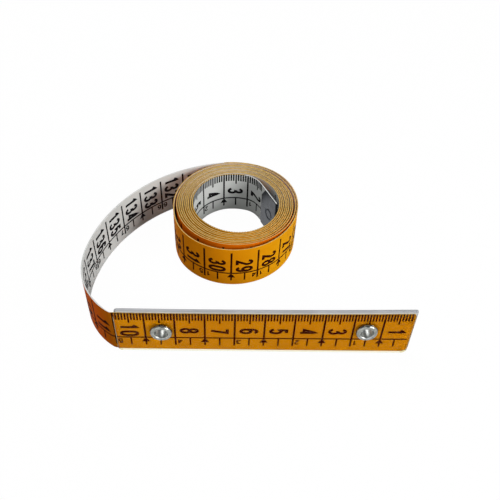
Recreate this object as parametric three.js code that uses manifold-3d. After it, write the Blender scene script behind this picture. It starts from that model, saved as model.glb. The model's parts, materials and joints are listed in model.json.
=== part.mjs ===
// Tailor's cloth tape measure, partly rolled up and standing on the edge of its tape.
// Millimetres, +Z up. The stiffened zero end runs along X with its front towards -Y, a free
// length of tape loops round behind it, and the rest is wound into a coil with a metal tip
// on the inner end. The origin is on the ground, under the middle of the whole object.

import * as THREE from 'three';
import { mergeVertices } from 'three/addons/utils/BufferGeometryUtils.js';
import Module from 'manifold-3d';

const degree = Math.PI / 180;
const turn = 2 * Math.PI;

// The tape, one strip of coated cloth
const tapeLength = 1500;
const tapeWidth = 19;
const tapeThickness = 0.3;
const bendSlit = 0.3; // clear slit between two lengths of tape where the tape bends

// The coil
const boreRadius = 16.2;
const windingGap = 0.417; // air between two turns
const outerTurnSlack = 0.98; // how far the outermost turn stands off the turn under it
const outerTurnBulge = 0.45; // how much further it bulges at the front
const secondTurnBulge = 0.45; // how far the turn under it stands off on the right
const slackStartShare = 0.5; // places along the tape, in turns from where it leaves the coil
const slackEndShare = 1;
const outerBulgeShare = 0.5;
const secondBulgeShare = 1.27;
const bulgeReachShare = 0.27;
const packShift = 0.6; // the turns inside the outermost one lie this far off its middle
const packShiftToward = 35 * degree; // anticlockwise from +X
const packShiftStartShare = 0.66;
const packShiftEndShare = 0.95;
const stationsPerTurn = 48;

// The free length between the coil and the stiffened end
const leadLength = 107;
const foldAtPlates = 33 * degree; // crease where the tape comes out of the plates
const bendLength = 35;
const bendTurn = 33.3 * degree; // extra turn within the tight bend
const bendEasing = 1.4;
const sweepTurn = 103.9 * degree; // turn spread evenly over the whole free length
const leadStations = 44;

// The straight inner end
const tailLength = 16;
const tipLength = 11;
const tipSheet = 0.3;
const tipSeat = 0.1; // clearance between the tape and the folded metal
const tipClearance = 0.35; // between the tip and the turn that it rests against
const dimpleRadius = 2.4;
const dimpleDepth = 0.2;
const dimpleFromEnd = 4.6;
const foldSteps = 5; // steps round the fold

// The stiffened zero end
const stiffenerLength = 100;
const frontPlateThickness = 0.9;
const frontPlateInset = 0.3; // the clear plate ends this far inside the scale's ten centimetres
const frontPlateCorner = 2;
const backPlateThickness = 1.1;
const backPlateHeight = 20;
const backPlateInset = 0.5;
const backPlateOverhang = 0.75; // past the zero line
const backPlateCorner = 1.2;
const freeStub = 0.8; // bare tape between the plates and the bend

// The eyelets
const eyeletNearZeroFromZero = 15.5;
const eyeletNearZeroHeight = 11.3;
const eyeletFarFromEnd = 15.5; // from the far end of the scale's ten centimetres
const eyeletFarHeight = 10.4;
const eyeletBoreRadius = 2.2;
const eyeletBarrelWall = 0.3;
const eyeletRimRadius = 3.75;
const eyeletRimCrestRadius = 3.1;
const eyeletRimHeight = 1;
const eyeletClinchRadius = 3.3;
const eyeletClinchCrestRadius = 2.75;
const eyeletClinchHeight = 0.8;
const eyeletHoleClearance = 0.3;
const rimSteps = 8; // steps over each rolled rim
const roundSides = 32;

const wasm = await Module();
wasm.setup();

const pitch = tapeThickness + windingGap;
const innerRadius = boreRadius + tapeThickness / 2;
const straightLength = stiffenerLength + freeStub;
const woundLength = tapeLength - straightLength - leadLength - tailLength;

const smooth = (share) => {
  const inside = Math.min(Math.max(share, 0), 1);
  return inside * inside * (3 - 2 * inside);
};

// A bump that rises to one at its middle and is gone past its reach
const bump = (turns, middle) => {
  const away = Math.abs(turns - middle) / bulgeReachShare;
  return away < 1 ? Math.cos((away * Math.PI) / 2) ** 2 : 0;
};

// How far the tape stands off its tight spiral, a number of turns in from its outer end
function slack(turns) {
  const slackShare = 1 - smooth((turns - slackStartShare) / (slackEndShare - slackStartShare));
  return (
    outerTurnSlack * slackShare
    + outerTurnBulge * bump(turns, outerBulgeShare)
    + secondTurnBulge * bump(turns, secondBulgeShare)
  );
}

// Radius of the tape's middle, a number of turns in from the outer end of a coil of so many turns
const coilRadius = (turns, allTurns) => innerRadius + pitch * (allTurns - turns) + slack(turns);

// Length of tape in a coil of so many turns, by Simpson's rule between stations
function lengthInCoil(allTurns) {
  const steps = 2 * Math.ceil((allTurns * stationsPerTurn) / 2);
  const step = allTurns / steps;
  let sum = 0;
  for (let i = 0; i <= steps; i += 1) {
    const weight = i === 0 || i === steps ? 1 : 2 + 2 * (i % 2);
    sum += weight * coilRadius(i * step, allTurns);
  }
  return (sum * step * turn) / 3;
}

// The number of turns that holds the wound length, found by halving the range it lies in
function turnsThatHold(length) {
  let fewest = 0;
  let most = length / (turn * innerRadius);
  const halvings = 60;
  for (let i = 0; i < halvings; i += 1) {
    const middle = (fewest + most) / 2;
    if (lengthInCoil(middle) < length) fewest = middle;
    else most = middle;
  }
  return (fewest + most) / 2;
}

// A station is a point on the tape's middle with the heading of the tape there. Headings
// point along the tape from its zero end to its inner end.
const ahead = (station, distance) => ({
  x: station.x + distance * Math.cos(station.heading),
  y: station.y + distance * Math.sin(station.heading),
  heading: station.heading,
});

const aside = (station, distance) => ({
  x: station.x - distance * Math.sin(station.heading),
  y: station.y + distance * Math.cos(station.heading),
});

// A closed strip of rectangular section that stands on edge along a row of stations
function ribbon(stations, width, thickness) {
  const position = [];
  const index = [];
  for (const station of stations) {
    const left = aside(station, thickness / 2);
    const right = aside(station, -thickness / 2);
    position.push(left.x, left.y, 0, left.x, left.y, width);
    position.push(right.x, right.y, width, right.x, right.y, 0);
  }
  const quad = (a, b, c, d) => index.push(a, b, c, a, c, d);
  const last = 4 * (stations.length - 1);
  for (let i = 0; i < last; i += 4) {
    for (let side = 0; side < 4; side += 1) {
      const next = (side + 1) % 4;
      quad(i + side, i + next, i + 4 + next, i + 4 + side);
    }
  }
  quad(3, 2, 1, 0);
  quad(last, last + 1, last + 2, last + 3);
  const geometry = new THREE.BufferGeometry();
  geometry.setAttribute('position', new THREE.Float32BufferAttribute(position, 3));
  geometry.setIndex(index);
  geometry.computeVertexNormals();
  return geometry;
}

// Stations of the free length, from the plates to the coil
function leadPath(from, to) {
  const headingAt = (along) => (
    Math.PI - foldAtPlates - bendTurn
    + bendTurn * Math.max(1 - along / bendLength, 0) ** bendEasing
    - (sweepTurn * along) / leadLength
  );
  const fine = 20; // short steps between two stations
  const step = (to - from) / (leadStations * fine);
  const start = { x: -straightLength, y: tapeThickness / 2, heading: headingAt(0) };
  let here = ahead(start, from);
  const stations = [{ ...here, heading: headingAt(from) }];
  for (let i = 0; i < leadStations * fine; i += 1) {
    here = ahead({ ...here, heading: headingAt(from + (i + 1 / 2) * step) }, step);
    if ((i + 1) % fine === 0) {
      stations.push({ ...here, heading: headingAt(from + (i + 1) * step) });
    }
  }
  return stations;
}

const leadEnd = leadPath(0, leadLength).at(-1);
const coilTurns = turnsThatHold(woundLength);
const coilCentre = aside(leadEnd, -coilRadius(0, coilTurns));
const leavingAngle = leadEnd.heading + Math.PI / 2;

// The station a number of turns in from the coil's outer end. The tape runs clockwise.
function coilStation(turns) {
  const angle = leavingAngle - turns * turn;
  const radius = coilRadius(turns, coilTurns);
  const inside = (turns - packShiftStartShare) / (packShiftEndShare - packShiftStartShare);
  const shift = packShift * smooth(inside);
  return {
    x: coilCentre.x + radius * Math.cos(angle) + shift * Math.cos(packShiftToward),
    y: coilCentre.y + radius * Math.sin(angle) + shift * Math.sin(packShiftToward),
    heading: angle - Math.PI / 2,
  };
}

function coilPath() {
  const from = bendSlit / 2 / (turn * coilRadius(0, coilTurns));
  const to = coilTurns - bendSlit / 2 / (turn * innerRadius);
  const steps = Math.round((to - from) * stationsPerTurn);
  return Array.from({ length: steps + 1 }, (_, i) => coilStation(from + ((to - from) * i) / steps));
}

// The least gap between a turn and the next, measured on the points of their facing sides
function leastGap(stations) {
  const inside = stations.map((station) => aside(station, -tapeThickness / 2));
  const outside = stations.map((station) => aside(station, tapeThickness / 2));
  let least = Infinity;
  inside.forEach((point, i) => {
    for (let j = i + Math.round(stationsPerTurn / 2); j < outside.length - 1; j += 1) {
      const along = { x: outside[j + 1].x - outside[j].x, y: outside[j + 1].y - outside[j].y };
      const offset = { x: point.x - outside[j].x, y: point.y - outside[j].y };
      const square = along.x ** 2 + along.y ** 2;
      const share = Math.min(Math.max((along.x * offset.x + along.y * offset.y) / square, 0), 1);
      const gap = Math.hypot(offset.x - share * along.x, offset.y - share * along.y);
      least = Math.min(least, gap);
    }
  });
  return least;
}

// The turn of the straight inner end off the coil, so that the tip's outer edge stays clear
// of the turn that it lies against
function tailTurn() {
  const reach = tailLength + tipSeat + tipSheet;
  const half = tapeThickness / 2 + tipSeat + tipSheet;
  const turnsBack = 1 - Math.atan2(reach, innerRadius) / turn;
  const wall = boreRadius + pitch * turnsBack - tipClearance;
  const drop = (innerRadius ** 2 + reach ** 2 + half ** 2 - wall ** 2) / (2 * innerRadius);
  return Math.asin(drop / Math.hypot(reach, half)) + Math.atan2(half, reach);
}

// A plate that stands in the XZ plane, from its left end to its right, with round corners and
// a round hole at each eyelet. Its front face is at y = front.
function plate(left, right, height, front, thickness, corner) {
  const outline = new THREE.Shape();
  outline.moveTo(left + corner, 0);
  outline.lineTo(right - corner, 0);
  if (corner > 0) outline.absarc(right - corner, corner, corner, -Math.PI / 2, 0);
  outline.lineTo(right, height - corner);
  if (corner > 0) outline.absarc(right - corner, height - corner, corner, 0, Math.PI / 2);
  outline.lineTo(left + corner, height);
  if (corner > 0) outline.absarc(left + corner, height - corner, corner, Math.PI / 2, Math.PI);
  outline.lineTo(left, corner);
  if (corner > 0) outline.absarc(left + corner, corner, corner, Math.PI, (3 * Math.PI) / 2);
  for (const [fromZero, up] of eyeletPlaces) {
    const hole = new THREE.Path();
    hole.absarc(-fromZero, up, eyeletHoleRadius, 0, turn, true);
    outline.holes.push(hole);
  }
  const settings = { depth: thickness, bevelEnabled: false, curveSegments: roundSides / 4 };
  const geometry = new THREE.ExtrudeGeometry(outline, settings);
  geometry.rotateX(Math.PI / 2);
  geometry.translate(0, front + thickness, 0);
  return geometry;
}

// Points over a rolled rim that stands out from a face, from its flared mouth to its edge
function rolledRim(mouthRadius, crestRadius, edgeRadius, face, height) {
  return Array.from({ length: rimSteps + 1 }, (_, i) => {
    const angle = (Math.PI * i) / rimSteps;
    const reach = i < rimSteps / 2 ? crestRadius - mouthRadius : edgeRadius - crestRadius;
    return new THREE.Vector2(crestRadius - reach * Math.cos(angle), face + height * Math.sin(angle));
  });
}

// An eyelet: a rolled rim in front, a barrel through the layers and a clinched rim behind
function eyelet() {
  const barrelRadius = eyeletBoreRadius + eyeletBarrelWall;
  const front = rolledRim(
    eyeletBoreRadius,
    eyeletRimCrestRadius,
    eyeletRimRadius,
    frontFace,
    -eyeletRimHeight,
  );
  const back = rolledRim(
    eyeletBoreRadius,
    eyeletClinchCrestRadius,
    eyeletClinchRadius,
    backFace,
    eyeletClinchHeight,
  );
  const profile = [
    ...front,
    new THREE.Vector2(barrelRadius, frontFace),
    new THREE.Vector2(barrelRadius, backFace),
    ...back.reverse(),
    new THREE.Vector2(eyeletBoreRadius, frontFace),
  ];
  return new THREE.LatheGeometry(profile, roundSides);
}

const solidOf = (geometry) => {
  const bare = geometry.clone();
  bare.deleteAttribute('normal');
  bare.deleteAttribute('uv');
  const merged = mergeVertices(bare);
  const vertProperties = merged.attributes.position.array;
  return new wasm.Manifold(new wasm.Mesh({
    numProp: 3,
    vertProperties,
    triVerts: new Uint32Array(merged.index.array),
  }));
};

const geometryOf = (solid) => {
  const { vertProperties, triVerts } = solid.getMesh();
  const geometry = new THREE.BufferGeometry();
  geometry.setAttribute('position', new THREE.BufferAttribute(vertProperties, 3));
  geometry.setIndex(new THREE.BufferAttribute(triVerts, 1));
  geometry.computeVertexNormals();
  return geometry;
};

// The metal tip: a sheet folded round the end of the tape, which runs along +X, with a round
// dimple pressed into the leaf that faces the middle of the coil
function endTip() {
  const inner = tapeThickness / 2 + tipSeat;
  const outer = inner + tipSheet;
  const start = tailLength - tipLength;
  const section = new THREE.Shape();
  section.moveTo(start, -outer);
  section.lineTo(tailLength, -outer);
  section.absarc(tailLength, 0, outer, -Math.PI / 2, Math.PI / 2);
  section.lineTo(start, outer);
  section.lineTo(start, inner);
  section.lineTo(tailLength, inner);
  section.absarc(tailLength, 0, inner, Math.PI / 2, -Math.PI / 2, true);
  section.lineTo(start, -inner);
  const settings = { depth: tapeWidth, bevelEnabled: false, curveSegments: foldSteps };
  const sheet = new THREE.ExtrudeGeometry(section, settings);
  const ballRadius = (dimpleRadius ** 2 + dimpleDepth ** 2) / (2 * dimpleDepth);
  const ball = new THREE.SphereGeometry(ballRadius, 2 * roundSides, roundSides);
  ball.translate(tailLength - dimpleFromEnd, dimpleDepth - outer - ballRadius, tapeWidth / 2);
  return geometryOf(solidOf(sheet).subtract(solidOf(ball)));
}

const eyeletPlaces = [
  [eyeletNearZeroFromZero, eyeletNearZeroHeight],
  [stiffenerLength - eyeletFarFromEnd, eyeletFarHeight],
];
const eyeletHoleRadius = eyeletBoreRadius + eyeletBarrelWall + eyeletHoleClearance;
const frontFace = -frontPlateThickness;
const backFace = tapeThickness + backPlateThickness;

const tapeMaterial = new THREE.MeshStandardMaterial({ color: 0xd88a14, roughness: 0.45 });
const clearPlastic = new THREE.MeshStandardMaterial({
  color: 0xf2ead2,
  roughness: 0.15,
  transparent: true,
  opacity: 0.35,
});
const whitePlastic = new THREE.MeshStandardMaterial({ color: 0xd9dbda, roughness: 0.4 });
const nickel = new THREE.MeshStandardMaterial({ color: 0xb9bbb8, roughness: 0.25, metalness: 1 });
const tipMetal = new THREE.MeshStandardMaterial({ color: 0x8b909c, roughness: 0.4, metalness: 1 });

const assembly = new THREE.Group();

function addPiece(name, geometry, material, parent = assembly) {
  const mesh = new THREE.Mesh(geometry, material);
  mesh.name = name;
  parent.add(mesh);
  return mesh;
}

// The wound tape
const coilStations = coilPath();
addPiece('tape_coil', ribbon(coilStations, tapeWidth, tapeThickness), tapeMaterial);

// The free length
const leadStationsBetweenSlits = leadPath(bendSlit / 2, leadLength - bendSlit / 2);
addPiece('tape_lead', ribbon(leadStationsBetweenSlits, tapeWidth, tapeThickness), tapeMaterial);

// The stiffened end: clear plate, tape and back plate, held by the two eyelets
const tapeEnd = bendSlit / 2 - straightLength;
addPiece(
  'tape_straight',
  plate(tapeEnd, 0, tapeWidth, 0, tapeThickness, 0),
  tapeMaterial,
);
addPiece(
  'stiffener_front',
  plate(
    frontPlateInset - stiffenerLength,
    0,
    tapeWidth,
    frontFace,
    frontPlateThickness,
    frontPlateCorner,
  ),
  clearPlastic,
);
addPiece(
  'stiffener_back',
  plate(
    backPlateInset - stiffenerLength,
    backPlateOverhang,
    backPlateHeight,
    tapeThickness,
    backPlateThickness,
    backPlateCorner,
  ),
  whitePlastic,
);
['eyelet_near_zero', 'eyelet_far'].forEach((name, i) => {
  const [fromZero, up] = eyeletPlaces[i];
  addPiece(name, eyelet(), nickel).position.set(-fromZero, 0, up);
});

// The straight inner end with its tip, turned inwards off the coil
const tailStart = coilStation(coilTurns);
const tail = new THREE.Group();
tail.position.set(tailStart.x, tailStart.y, 0);
tail.rotation.z = tailStart.heading - tailTurn();
assembly.add(tail);
const tailStations = [bendSlit / 2, tailLength].map((x) => ({ x, y: 0, heading: 0 }));
addPiece('tape_tail', ribbon(tailStations, tapeWidth, tapeThickness), tapeMaterial, tail);
addPiece('end_tip', endTip(), tipMetal, tail);

// The origin goes on the ground under the middle
const tapeMeasure = new THREE.Group();
tapeMeasure.add(assembly);
const box = new THREE.Box3().setFromObject(assembly);
const middle = box.getCenter(new THREE.Vector3());
assembly.position.set(-middle.x, -middle.y, -box.min.z);

const placed = (point) => [point.x - middle.x, point.y - middle.y].map((v) => v.toFixed(3));
console.log(`size ${box.getSize(new THREE.Vector3()).toArray().map((v) => v.toFixed(2))}`);
console.log(`wound length ${woundLength.toFixed(1)}, turns ${coilTurns.toFixed(3)}`);
console.log(`least gap between turns ${leastGap(coilStations).toFixed(3)}`);
console.log(`coil centre ${placed(coilCentre)}`);
console.log(`lead peels off the coil at ${placed(leadEnd)}`);
console.log(`stiffened end folds at ${placed({ x: -straightLength, y: tapeThickness / 2 })}`);
console.log(`inner end flexes at ${placed(tailStart)}`);

export default tapeMeasure;
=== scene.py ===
# The looks of a tailor's cloth tape measure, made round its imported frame. Metres, +Z up.
# The tape is one path in plan, measured from its zero end. Every length of it, and every
# mark printed on it, is laid along that path.

import bisect
import json
from math import asin, atan2, ceil, cos, exp, hypot, pi, radians, sin

import bpy
from mathutils import Matrix, Vector
from mathutils.geometry import delaunay_2d_cdt


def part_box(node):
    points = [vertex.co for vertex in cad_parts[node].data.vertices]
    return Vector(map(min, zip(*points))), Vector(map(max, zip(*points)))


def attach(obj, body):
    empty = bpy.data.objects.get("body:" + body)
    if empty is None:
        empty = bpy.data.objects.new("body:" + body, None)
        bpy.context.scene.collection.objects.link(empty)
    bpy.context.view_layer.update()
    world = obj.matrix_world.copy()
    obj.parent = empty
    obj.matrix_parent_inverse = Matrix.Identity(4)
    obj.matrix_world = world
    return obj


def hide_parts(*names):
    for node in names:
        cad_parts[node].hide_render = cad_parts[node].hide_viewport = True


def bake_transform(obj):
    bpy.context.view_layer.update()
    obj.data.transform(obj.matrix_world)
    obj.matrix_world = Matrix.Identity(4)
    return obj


MM = 0.001
TURN = 2 * pi

# The tape
TAPE_LENGTH = 1500 * MM
TAPE_WIDTH = 19 * MM
CAD_THICKNESS = 0.3 * MM
WOUND_THICKNESS = 0.46 * MM
PLATED_THICKNESS = 0.22 * MM  # pressed between the two plates
TAIL_THICKNESS = 0.42 * MM
CUT_BEVEL = 0.05 * MM
COAT_EDGE = 0.07 * MM  # the eased edge of each coating

# The coil, as the frame has it
BORE_RADIUS = 16.2 * MM
WINDING_GAP = 0.417 * MM
OUTER_TURN_SLACK = 0.98 * MM
OUTER_TURN_BULGE = 0.45 * MM
SECOND_TURN_BULGE = 0.45 * MM
SLACK_SHARES = (0.5, 1.0)
BULGE_SHARES = (0.5, 1.27)
BULGE_REACH_SHARE = 0.27
PACK_SHIFT = 0.6 * MM
PACK_SHIFT_TOWARD = radians(35)
PACK_SHIFT_SHARES = (0.66, 0.95)
LENGTH_STEPS = 800  # in which a coil's length is added up
HALVINGS = 50  # of the range in which its number of turns lies

# How the soft coil departs from the frame's even one. Places are in turns from the peel.
OUTER_TURN_SHAPE = ((-0.2, 0), (0.04, -0.6), (0.17, 0.3), (0.38, -0.42), (0.655, 0.62),
                    (0.77, -0.28), (0.95, 0))  # millimetres outwards
LOOSE_TURNS = 0.22 * MM  # the turns lie looser at the front left
LOOSE_AT_SHARE = 0.64
LOOSE_REACH_SHARE = 0.2
INNER_DIP = 0.4 * MM  # the innermost turn stands off there
INNER_DIP_AT = 9.6
INNER_DIP_REACH_SHARE = 0.16
UNEVENNESS = 0.075 * MM
UNEVEN_FADE = (0.3, 0.6, 0.5)  # where it sets in, and over how many turns it grows and dies out
UNEVEN_WAVES = ((0.6, 1.31, 0.4), (0.4, 2.17, 1.9))  # share, waves a turn, start in radians
RISE = 0.13 * MM  # how far the turns have slid up out of the coil, on average
RISE_FADE = (0.2, 1, 0.6)
RISE_WAVES = ((0.6, 0.37, 0), (0.4, 0.83, 0))

# The free length, as the frame has it
LEAD_LENGTH = 107 * MM
FOLD_AT_PLATES = radians(33)
BEND_LENGTH = 35 * MM
BEND_TURN = radians(33.3)
BEND_EASING = 1.4
SWEEP_TURN = radians(103.9)

# The two ends
PLATED_LENGTH = 100 * MM
FREE_STUB = 0.8 * MM
TAIL_LENGTH = 16 * MM
TIP_LENGTH = 11 * MM
TIP_SHEET = 0.3 * MM
TIP_SEAT = 0.1 * MM
TIP_CLEARANCE = 0.35 * MM

PATH_STEP = 0.25 * MM
PLATED_THINNING = 6 * MM  # past the plates, the tape comes to its full thickness over this
TAIL_THINNING = 4 * MM  # and it thins over this before the inner end's bend
FOLD_BLEND = 6 * MM  # a place this far past the fold is worked out, and not used
PEEL_BLEND = 9 * MM
EASED_REACH = 1.1 * MM  # the path is rounded this far each side of the fold at the plates
TAIL_EASED_REACH = 4.6 * MM  # and this far each side of the inner end's bend

# The stiffened end's bow and its lean over the tape's width, in millimetres: a constant part,
# then the parts that go with the share of the way along the plates and with its square
BOW_PARTS = (0, 0.5, 0.2)
LEAN_PARTS = (1.6, -2.2, 1.3)
SWAY_REACH_SHARE = 1.1  # of the plates' length, past which neither changes
SWAY_FADE = 45 * MM  # past the fold, over which both die out

PITCH = CAD_THICKNESS + WINDING_GAP
INNER_RADIUS = BORE_RADIUS + CAD_THICKNESS / 2
FOLD = PLATED_LENGTH + FREE_STUB
PEEL = FOLD + LEAD_LENGTH
FLEX = TAPE_LENGTH - TAIL_LENGTH

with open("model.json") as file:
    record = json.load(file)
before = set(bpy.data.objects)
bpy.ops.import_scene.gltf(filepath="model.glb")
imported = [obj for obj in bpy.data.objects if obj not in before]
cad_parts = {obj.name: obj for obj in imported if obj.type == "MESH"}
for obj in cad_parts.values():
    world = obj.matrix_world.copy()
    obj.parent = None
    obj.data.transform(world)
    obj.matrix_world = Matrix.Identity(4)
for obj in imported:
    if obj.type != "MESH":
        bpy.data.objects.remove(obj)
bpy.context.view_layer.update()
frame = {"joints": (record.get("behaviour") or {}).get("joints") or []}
straight_low, straight_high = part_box("tape_straight")
ZERO_X = straight_high.x
MIDDLE_Y = straight_low.y + CAD_THICKNESS / 2
EYELET_NODES = ("eyelet_near_zero", "eyelet_far")
eyelet_centres = []  # each by its reach from the zero line and its height
for node in EYELET_NODES:
    low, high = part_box(node)
    eyelet_centres.append(((low.x + high.x) / 2 - ZERO_X, (low.z + high.z) / 2))
joint_places = {joint["name"]: Vector(joint["pos_m"]) for joint in frame["joints"]}


def smooth(share):
    inside = min(max(share, 0), 1)
    return inside * inside * (3 - 2 * inside)


def hill(away, reach):
    """One in the middle, and nothing from a reach away."""
    return cos(away / reach * pi / 2) ** 2 if abs(away) < reach else 0


def even(start, end, count):
    """The ends of a number of even steps, with the start of the first."""
    return [start + (end - start) * i / count for i in range(count + 1)]


def spaced(start, end, step):
    """Even places from a start to an end, a step apart at most."""
    return even(start, end, max(1, ceil((end - start) / step)))


def between(a, b, count):
    """The starts of a number of even steps from one point to another."""
    return [(a[0] + (b[0] - a[0]) * i / count, a[1] + (b[1] - a[1]) * i / count)
            for i in range(count)]


def slack(turns):
    """How far the tape stands off its tight spiral, a number of turns in from its outer end."""
    start, end = SLACK_SHARES
    off = OUTER_TURN_SLACK * (1 - smooth((turns - start) / (end - start)))
    for bulge, middle in zip((OUTER_TURN_BULGE, SECOND_TURN_BULGE), BULGE_SHARES):
        off += bulge * hill(turns - middle, BULGE_REACH_SHARE)
    return off


def faded(turns, all_turns, start, growth, end):
    """One along the coil, and nothing at its two ends."""
    return smooth((turns - start) / growth) * smooth((all_turns - turns) / end)


def waves(turns, parts):
    return sum(share * sin(TURN * rate * turns + start) for share, rate, start in parts)


def unevenness(turns, all_turns):
    """The small give of a hand-wound coil."""
    return UNEVENNESS * faded(turns, all_turns, *UNEVEN_FADE) * waves(turns, UNEVEN_WAVES)


def coil_radius(turns, all_turns):
    return INNER_RADIUS + PITCH * (all_turns - turns) + slack(turns)


def turns_that_hold(length):
    """The number of turns of a coil that holds a length of tape."""
    fewest, most = 0, length / (TURN * INNER_RADIUS)
    for _ in range(HALVINGS):
        middle = (fewest + most) / 2
        step = middle / LENGTH_STEPS
        held = sum(coil_radius((i + 0.5) * step, middle) for i in range(LENGTH_STEPS))
        if held * TURN * step < length:
            fewest = middle
        else:
            most = middle
    return (fewest + most) / 2


def lead_heading(along):
    bend = BEND_TURN * max(1 - along / BEND_LENGTH, 0) ** BEND_EASING
    return pi - FOLD_AT_PLATES - BEND_TURN + bend - SWEEP_TURN * along / LEAD_LENGTH


def tail_turn():
    """How far the straight inner end turns off the coil, to lie against the turn behind it."""
    reach = TAIL_LENGTH + TIP_SEAT + TIP_SHEET
    half = CAD_THICKNESS / 2 + TIP_SEAT + TIP_SHEET
    back = 1 - atan2(reach, INNER_RADIUS) / TURN
    wall = BORE_RADIUS + PITCH * back - TIP_CLEARANCE
    drop = (INNER_RADIUS ** 2 + reach ** 2 + half ** 2 - wall ** 2) / (2 * INNER_RADIUS)
    return asin(drop / hypot(reach, half)) + atan2(half, reach)


class Path:
    """The tape's middle in plan: a row of points by their distance from the zero end, each with
    its turns in from where the tape peels off the coil."""

    def __init__(self):
        self.turns = turns_that_hold(FLEX - PEEL)
        self.outer_turn = TURN * coil_radius(0.5, self.turns)
        self.rows = []
        self.straight()
        self.lead()
        self.coil()
        self.tail()
        self.ease(FOLD, EASED_REACH)
        self.ease(FLEX, TAIL_EASED_REACH)
        self.measure()

    def straight(self):
        for along in spaced(0, FOLD, PATH_STEP):
            turns = (along - PEEL) / self.outer_turn
            self.rows.append((along, ZERO_X - along, MIDDLE_Y, turns))

    def lead(self):
        steps = ceil(LEAD_LENGTH / PATH_STEP)
        step = LEAD_LENGTH / steps
        _, x, y, _ = self.rows[-1]
        for i in range(steps):
            heading = lead_heading((i + 0.5) * step)
            x, y = x + step * cos(heading), y + step * sin(heading)
            distance = FOLD + (i + 1) * step
            self.rows.append((distance, x, y, (distance - PEEL) / self.outer_turn))

    def coil(self):
        wound = FLEX - PEEL
        _, x, y, _ = self.rows[-1]
        leaving = lead_heading(LEAD_LENGTH) + pi / 2
        radius = coil_radius(0, self.turns)
        centre = Vector((x - radius * cos(leaving), y - radius * sin(leaving)))
        start, end = PACK_SHIFT_SHARES
        steps = ceil(wound / PATH_STEP)
        points, lengths = [(x, y)], [0.0]
        for i in range(1, steps + 1):
            turns = self.turns * i / steps
            angle = leaving - TURN * turns
            radius = coil_radius(turns, self.turns) + unevenness(turns, self.turns)
            shift = PACK_SHIFT * smooth((turns - start) / (end - start))
            x = centre.x + radius * cos(angle) + shift * cos(PACK_SHIFT_TOWARD)
            y = centre.y + radius * sin(angle) + shift * sin(PACK_SHIFT_TOWARD)
            lengths.append(lengths[-1] + hypot(x - points[-1][0], y - points[-1][1]))
            points.append((x, y))
        stretch = wound / lengths[-1]
        for i in range(1, steps + 1):
            self.rows.append((PEEL + lengths[i] * stretch, *points[i], self.turns * i / steps))
        self.end_heading = leaving - TURN * self.turns - pi / 2 - tail_turn()

    def tail(self):
        _, x, y, _ = self.rows[-1]
        for along in spaced(0, TAIL_LENGTH, PATH_STEP)[1:]:
            self.rows.append((FLEX + along, x + along * cos(self.end_heading),
                              y + along * sin(self.end_heading),
                              self.turns + along / (TURN * INNER_RADIUS)))

    def ease(self, crease, reach_length):
        """Rounds the path at a crease by averaging its points over a short reach."""
        near = [i for i, row in enumerate(self.rows) if abs(row[0] - crease) < 3 * reach_length]
        reach = round(reach_length / PATH_STEP)
        eased = {}
        for i in near:
            around = self.rows[i - reach:i + reach + 1]
            if len(around) == 2 * reach + 1:
                share = smooth(3 - abs(self.rows[i][0] - crease) / reach_length)
                x = sum(row[1] for row in around) / len(around)
                y = sum(row[2] for row in around) / len(around)
                eased[i] = (self.rows[i][1] + share * (x - self.rows[i][1]),
                            self.rows[i][2] + share * (y - self.rows[i][2]))
        for i, (x, y) in eased.items():
            self.rows[i] = (self.rows[i][0], x, y, self.rows[i][3])

    def measure(self):
        """Works out the heading at each point, as one running angle."""
        self.distances = [row[0] for row in self.rows]
        headings = []
        last = len(self.rows) - 1
        for i in range(len(self.rows)):
            before, after = self.rows[max(i - 1, 0)], self.rows[min(i + 1, last)]
            heading = atan2(after[2] - before[2], after[1] - before[1])
            if headings:
                heading += TURN * round((headings[-1] - heading) / TURN)
            headings.append(heading)
        self.headings = headings

    def at(self, distance):
        """The point, turns and heading at a distance. Past either end the tape runs straight on."""
        i = min(max(bisect.bisect_right(self.distances, distance), 1), len(self.rows) - 1)
        a, b = self.rows[i - 1], self.rows[i]
        share = (distance - a[0]) / (b[0] - a[0])
        inside = min(max(share, 0), 1)
        heading = self.headings[i - 1] + inside * (self.headings[i] - self.headings[i - 1])
        return tuple(a[k] + share * (b[k] - a[k]) for k in (1, 2, 3)) + (heading,)


path = Path()
for name, distance in (("stiff_end_fold", FOLD), ("lead_peel", PEEL), ("tail_flex", FLEX)):
    x, y, _, _ = path.at(distance)
    off = hypot(x - joint_places[name].x, y - joint_places[name].y)
    print(f"{name} lies {off / MM:.2f} mm from the path")


def thickness(distance):
    """The tape is pressed thin between the plates and under the tip."""
    out = smooth((distance - FOLD) / PLATED_THINNING)
    under = smooth((distance - FLEX) / TAIL_THINNING + 1)
    free = PLATED_THICKNESS + (WOUND_THICKNESS - PLATED_THICKNESS) * out
    return free + (TAIL_THICKNESS - WOUND_THICKNESS) * under


def rise(turns):
    """How far a turn of the coil has slid up out of it."""
    return RISE * faded(turns, path.turns, *RISE_FADE) * (1 + waves(turns, RISE_WAVES))


def standoff(turns):
    """How far the soft tape lies outside the frame's path."""
    off = 0
    for (a, low), (b, high) in zip(OUTER_TURN_SHAPE, OUTER_TURN_SHAPE[1:]):
        if a <= turns < b:
            off = (low + (high - low) * smooth((turns - a) / (b - a))) * MM
    if turns > 1:
        second, innermost = 1.5, path.turns - 0.5  # the middles of these two turns
        inwards = min((turns - second) / (innermost - second), 1)
        off += LOOSE_TURNS * (1 - 2 * inwards) * hill(turns % 1 - LOOSE_AT_SHARE, LOOSE_REACH_SHARE)
    return off - INNER_DIP * hill(turns - INNER_DIP_AT, INNER_DIP_REACH_SHARE)


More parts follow.
